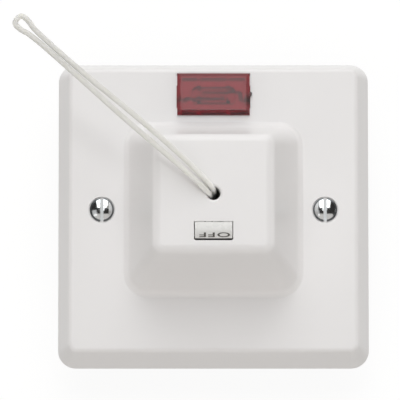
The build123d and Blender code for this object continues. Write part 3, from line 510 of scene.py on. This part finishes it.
def smooth_line(controls):
    """Points along the quadratic NURBS spline of the control points."""
    curve = bpy.data.curves.new("cord_line", "CURVE")
    curve.dimensions = "3D"
    curve.resolution_u = ROUTE_STEPS
    spline = curve.splines.new("NURBS")
    spline.points.add(len(controls) - 1)
    for point, place in zip(spline.points, controls):
        point.co = (*place, 1)
    spline.order_u = 3
    spline.use_endpoint_u = True
    holder = bpy.data.objects.new("cord_line", curve)
    mesh = bpy.data.meshes.new_from_object(holder)
    line = np.array([v.co for v in mesh.vertices])
    bpy.data.meshes.remove(mesh)
    bpy.data.curves.remove(curve)
    return line


def evenly(line, step):
    """The line again, with its points a step apart, and the distance along it."""
    runs = np.linalg.norm(np.diff(line, axis=0), axis=1)
    along = np.concatenate([[0], np.cumsum(runs)])
    at = np.linspace(0, along[-1], int(along[-1] / step) + 1)
    return np.stack([np.interp(at, along, line[:, k]) for k in range(3)], axis=1), at


def braid_height(angle, along):
    """0 in the valleys and 1 on the crowns of a plain braid, over one and under one."""
    turn = 2 * np.pi * along / BRAID_LAY
    right = (BRAID_CARRIERS / 2) * (angle + turn)
    left = (BRAID_CARRIERS / 2) * (angle - turn)
    over = 0.5 + 0.5 * np.sin(right) * np.sin(left)
    return over * np.abs(np.cos(right / 2)) + (1 - over) * np.abs(np.cos(left / 2))


def pull_cord():
    """The doubled cord in one piece, with its braid, from the ferrule to the eye and back."""
    line, along = evenly(smooth_line(cord_controls()), CORD_STEP)
    angle = np.linspace(0, 2 * np.pi, CORD_SIDES, endpoint=False)
    radius = CORD_D / 2 - BRAID_RELIEF * (1 - braid_height(angle[None, :], along[:, None]))
    points, faces = tube_points(line, angle, radius), ring_faces(len(line), CORD_SIDES)
    cord = mesh_object("doubled_pull_cord", points, faces, FINISHES["nylon_cord"])
    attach(cord, "pull")
    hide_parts("pull_cord")


# Fixing screws

def lathe(profile, depth_at):
    """Rings of points about Z for a profile of radius and height, less the depth cut there."""
    angle = np.linspace(0, 2 * np.pi, SCREW_SIDES, endpoint=False)
    points = []
    for radius, z in profile:
        for a in angle:
            r = radius - depth_at(a, z)
            points.append((r * math.cos(a), r * math.sin(a), z))
    return points


def thread_cut(angle, z):
    """The depth of the thread's groove, which climbs one pitch a turn and runs out under the head."""
    turn = (z / THREAD_PITCH - angle / (2 * math.pi)) % 1.0
    fade = min(1.0, max(0.0, (THREAD_END - z) / THREAD_PITCH))
    return THREAD_DEPTH * abs(2 * turn - 1) * fade


def screw_shank():
    """The threaded rod with its tapered end, up to the underside of the head."""
    rings = int((THREAD_END - SCREW_TIP) / THREAD_PITCH * THREAD_STEPS)
    heights = np.linspace(SCREW_TIP, THREAD_END, rings)
    lead = np.clip((heights - SCREW_TIP) / THREAD_R, 0, 1 - TIP_SHARE) + TIP_SHARE
    profile = [(THREAD_R * share, z) for share, z in zip(lead, heights)]
    profile += [(SHANK_R, THREAD_END), (SHANK_R, NECK_Z)]
    return lathe(profile, thread_cut), ring_faces(len(profile), SCREW_SIDES)


def screw_head():
    """The countersunk cone, a thin lip and the raised dome."""
    dome_r = (HEAD_R**2 + HEAD_RISE**2) / (2 * HEAD_RISE)
    profile = [(SHANK_R, NECK_Z), (HEAD_R, FACE_Z - HEAD_LIP)]
    for share in np.linspace(1.0, DOME_TOP_SHARE, DOME_STEPS):
        r = HEAD_R * share
        profile.append((r, FACE_Z + HEAD_RISE - dome_r + math.sqrt(dome_r**2 - r**2)))
    return lathe(profile, lambda a, z: 0.0), ring_faces(len(profile), SCREW_SIDES)


def slotted(head):
    """The head's mesh with the screwdriver slot cut along Y and its edges broken."""
    half, top = SLOT_WIDTH / 2, FACE_Z + 2 * HEAD_RISE
    low = FACE_Z + HEAD_RISE - SLOT_DEPTH
    corners = [(x, y, z) for z in (low, top) for y in (-2 * HEAD_R, 2 * HEAD_R) for x in (-half, half)]
    faces = [(0, 2, 3, 1), (4, 5, 7, 6), (0, 1, 5, 4), (2, 6, 7, 3), (0, 4, 6, 2), (1, 3, 7, 5)]
    blade = mesh_object("slot_blade", corners, faces, SAWN, smooth=False)
    cut = head.modifiers.new("slot", "BOOLEAN")
    cut.object = blade
    cut.operation = "DIFFERENCE"
    cut.material_mode = "TRANSFER"
    edge = head.modifiers.new("edge", "BEVEL")
    edge.width = SLOT_BEVEL
    edge.segments = SLOT_BEVEL_STEPS
    edge.material = 0
    edge.limit_method = "ANGLE"
    edge.angle_limit = math.radians(SLOT_EDGE_DEG)
    bpy.context.view_layer.update()
    made = bpy.data.meshes.new_from_object(head.evaluated_get(bpy.context.evaluated_depsgraph_get()))
    head.modifiers.clear()
    bpy.data.objects.remove(blade)
    return made


def one_screw():
    """A slotted head welded to its threaded shank about the Z axis, as a closed bmesh."""
    head = mesh_object("screw_head", *screw_head(), FINISHES["plated_steel"])
    head.data.materials.append(PAINTED_RIM_SHADOW)
    # The cone's faces come first, then the lip's and then the dome's, ring by ring; the lip and the dome's
    # outer rings take the dark nickel of painted shadow.
    for polygon in head.data.polygons[SCREW_SIDES:(2 + PAINTED_SHADOW_RINGS) * SCREW_SIDES]:
        polygon.material_index = 1
    shank = mesh_object("screw_shank", *screw_shank(), FINISHES["plated_steel"])
    built = bmesh.new()
    for mesh in (slotted(head), shank.data):
        built.from_mesh(mesh)
    caps = [face for face in built.faces if all(abs(v.co.z - NECK_Z) < WELD for v in face.verts)]
    bmesh.ops.delete(built, geom=caps, context="FACES_ONLY")
    bmesh.ops.remove_doubles(built, verts=built.verts, dist=WELD)
    bmesh.ops.dissolve_degenerate(built, edges=built.edges, dist=WELD)
    for scrap in (head, shank):
        bpy.data.objects.remove(scrap)
    return built


def fixing_screws():
    """Both screws as one piece."""
    left = one_screw()
    right = left.copy()
    for screw, side in ((left, -1), (right, 1)):
        bmesh.ops.translate(screw, verts=screw.verts, vec=(side * SCREW_CENTRES / 2, 0, 0))
    other = bpy.data.meshes.new("other_screw")
    right.to_mesh(other)
    left.from_mesh(other)
    mesh = bpy.data.meshes.new("threaded_fixing_screws")
    left.to_mesh(mesh)
    # The second finish is the dark nickel of painted shadow on the heads' rims
    for material in (FINISHES["plated_steel"], PAINTED_RIM_SHADOW, SAWN):
        mesh.materials.append(material)
    mesh.set_sharp_from_angle(angle=math.radians(SHARP_EDGE_DEG))
    screws = bpy.data.objects.new("threaded_fixing_screws", mesh)
    scene.collection.objects.link(screws)
    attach(screws, "housing")
    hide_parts("fixing_screws")


# Springs

def coil(radius, wire, turns, low, high, y):
    """An open coil of round wire standing between two levels: its points and faces."""
    turned = np.linspace(0, 2 * np.pi * turns, turns * TURN_STEPS + 1)
    climb = np.linspace(low + wire / 2, high - wire / 2, len(turned))
    line = np.stack([radius * np.cos(turned), y + radius * np.sin(turned), climb], axis=1)
    angle = np.linspace(0, 2 * np.pi, WIRE_SIDES, endpoint=False)
    points = tube_points(line, angle, np.full((len(line), WIRE_SIDES), wire / 2))
    return points, ring_faces(len(line), WIRE_SIDES)


def squeezed_spring(piece, node):
    """Puts the coils in the node's place, fixed to the housing, and hides the node."""
    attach(piece, "housing")
    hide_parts(node)
    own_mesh(piece)


def return_spring():
    """The coil that brings the slider back, held at its upper end."""
    low, high = levels("return_spring")
    made = coil(RETURN_R, RETURN_WIRE, RETURN_TURNS, low, high, 0.0)
    piece = mesh_object("coiled_return_spring", *made, FINISHES["spring_steel"])
    squeezed_spring(piece, "return_spring")


def contact_springs():
    """The two coils that lift the contact carrier, held at their lower ends."""
    low, high = levels("contact_springs")
    points, faces = [], []
    for y in (-CONTACT_Y, CONTACT_Y):
        more, joined = coil(CONTACT_R, CONTACT_WIRE, CONTACT_TURNS, low, high, y)
        faces += [tuple(len(points) + corner for corner in face) for face in joined]
        points += more
    piece = mesh_object("coiled_contact_springs", points, faces, FINISHES["spring_steel"])
    squeezed_spring(piece, "contact_springs")


# Indicator words

def drum_word(name, text, width, centre_deg):
    """A word printed on the drum, upside down when the neon lens is at the top, as in the photograph."""
    curve = bpy.data.curves.new(name, "FONT")
    curve.body = text
    curve.extrude = LETTER_THICKNESS
    curve.offset = STROKE_SPREAD
    curve.space_character = LETTER_SPACING
    holder = bpy.data.objects.new(name, curve)
    mesh = bpy.data.meshes.new_from_object(holder)
    mesh.name = name
    bpy.data.curves.remove(curve)
    flat = np.array([v.co for v in mesh.vertices])
    low, high = flat.min(axis=0), flat.max(axis=0)
    share = (flat - (low + high) / 2) / (high - low)
    angles = math.radians(centre_deg) + share[:, 1] * WORD_HEIGHT / DRUM_R
    radius = DRUM_R + np.where(share[:, 2] > 0, PRINT_RISE, -PRINT_SUNK)
    for i, vertex in enumerate(mesh.vertices):
        out = Vector((0, -math.sin(angles[i]), math.cos(angles[i])))
        vertex.co = DRUM_AXIS + out * radius[i] + Vector((WORD_SHIFT - share[i, 0] * width, 0, 0))
    mesh.update()
    word = bpy.data.objects.new(name, mesh)
    word.data.materials.clear()
    word.data.materials.append(INK)
    scene.collection.objects.link(word)
    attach(word, "indicator")


# Light, table and background

def softbox(name, lean, turn, width, height, level, colour, mirrored=True):
    """A rectangular lamp that the camera doesn't see; mirrored says whether glossy surfaces show it."""
    lean, turn = math.radians(lean), math.radians(turn)
    direction = Vector((-math.sin(lean) * math.sin(turn), math.sin(lean) * math.cos(turn), math.cos(lean)))
    data = bpy.data.lights.new(name, "AREA")
    data.shape = "RECTANGLE"
    data.color = linear(colour)[:3]
    data.size = 2 * LAMP_DISTANCE * math.tan(math.radians(width / 2))
    data.size_y = 2 * LAMP_DISTANCE * math.tan(math.radians(height / 2))
    data.energy = level * (math.pi * LAMP_DISTANCE) ** 2
    lamp = bpy.data.objects.new(name, data)
    lamp.location = direction * LAMP_DISTANCE
    lamp.rotation_euler = direction.to_track_quat("Z", "Y").to_euler()
    lamp.visible_camera = False
    lamp.visible_glossy = mirrored
    scene.collection.objects.link(lamp)


def studio_world():
    """Pale walls round the horizon and a dark ceiling, where the camera stands."""
    world = bpy.data.worlds.new("studio")
    world.use_nodes = True
    tree = world.node_tree
    direction = add(tree, "ShaderNodeTexCoord").outputs["Generated"]
    height = add(tree, "ShaderNodeSeparateXYZ", {0: direction}).outputs["Z"]
    ramp = add(tree, "ShaderNodeValToRGB", {0: height})
    elements = ramp.color_ramp.elements
    while len(elements) < len(SKY):
        elements.new(1.0)
    for element, (position, value) in zip(elements, SKY):
        element.position = position
        element.color = [channel * value for channel in linear(WARM)]
    tree.links.new(ramp.outputs[0], tree.nodes["Background"].inputs["Color"])
    scene.world = world


def white_table():
    """A white matt table under the switch.

    The eye and reflections see it glow, with the switch's soft shadow. Other light meets a duller white,
    so that the table throws less of it back.
    """
    material, tree, shader, place = new_material("white_table", Specular_IOR_Level=0.1)
    vary(tree, shader, place, patch_mm=30.0, colours=("#F0F0EE", "#F4F4F2"), roughness=(0.85, 0.95))
    path = add(tree, "ShaderNodeLightPath").outputs
    seen = path["Is Camera Ray"]
    for ray in ("Is Glossy Ray", "Is Transmission Ray"):
        seen = add(tree, "ShaderNodeMath", {0: seen, 1: path[ray]}, operation="MAXIMUM").outputs[0]
    glow = add(tree, "ShaderNodeEmission", {"Strength": GLOW_STRENGTH}).outputs[0]
    shown = add(tree, "ShaderNodeMixShader", {0: GLOW_SHARE, 1: shader.outputs[0], 2: glow}).outputs[0]
    dull = add(tree, "ShaderNodeBsdfDiffuse", {"Color": linear(TABLE_DULL)}).outputs[0]
    mixed = add(tree, "ShaderNodeMixShader", {0: seen, 1: dull, 2: shown}).outputs[0]
    tree.links.new(mixed, tree.nodes["Material Output"].inputs["Surface"])
    z = levels("base_moulding")[0]
    corners = [(x * TABLE_REACH, y * TABLE_REACH, z) for x, y in ((-1, -1), (1, -1), (1, 1), (-1, 1))]
    mesh_object("table", corners, [(0, 1, 2, 3)], material)


dress_cad_nodes()
make_camera()
pull_cord()
fixing_screws()
return_spring()
contact_springs()
drum_word("off_word", "OFF", OFF_WIDTH, OFF_DEG)
drum_word("on_word", "ON", ON_WIDTH, ON_DEG)
for lamp_name, lamp_setting in LAMPS.items():
    softbox(lamp_name, **lamp_setting)
studio_world()
white_table()
scene.view_settings.view_transform = "Standard"
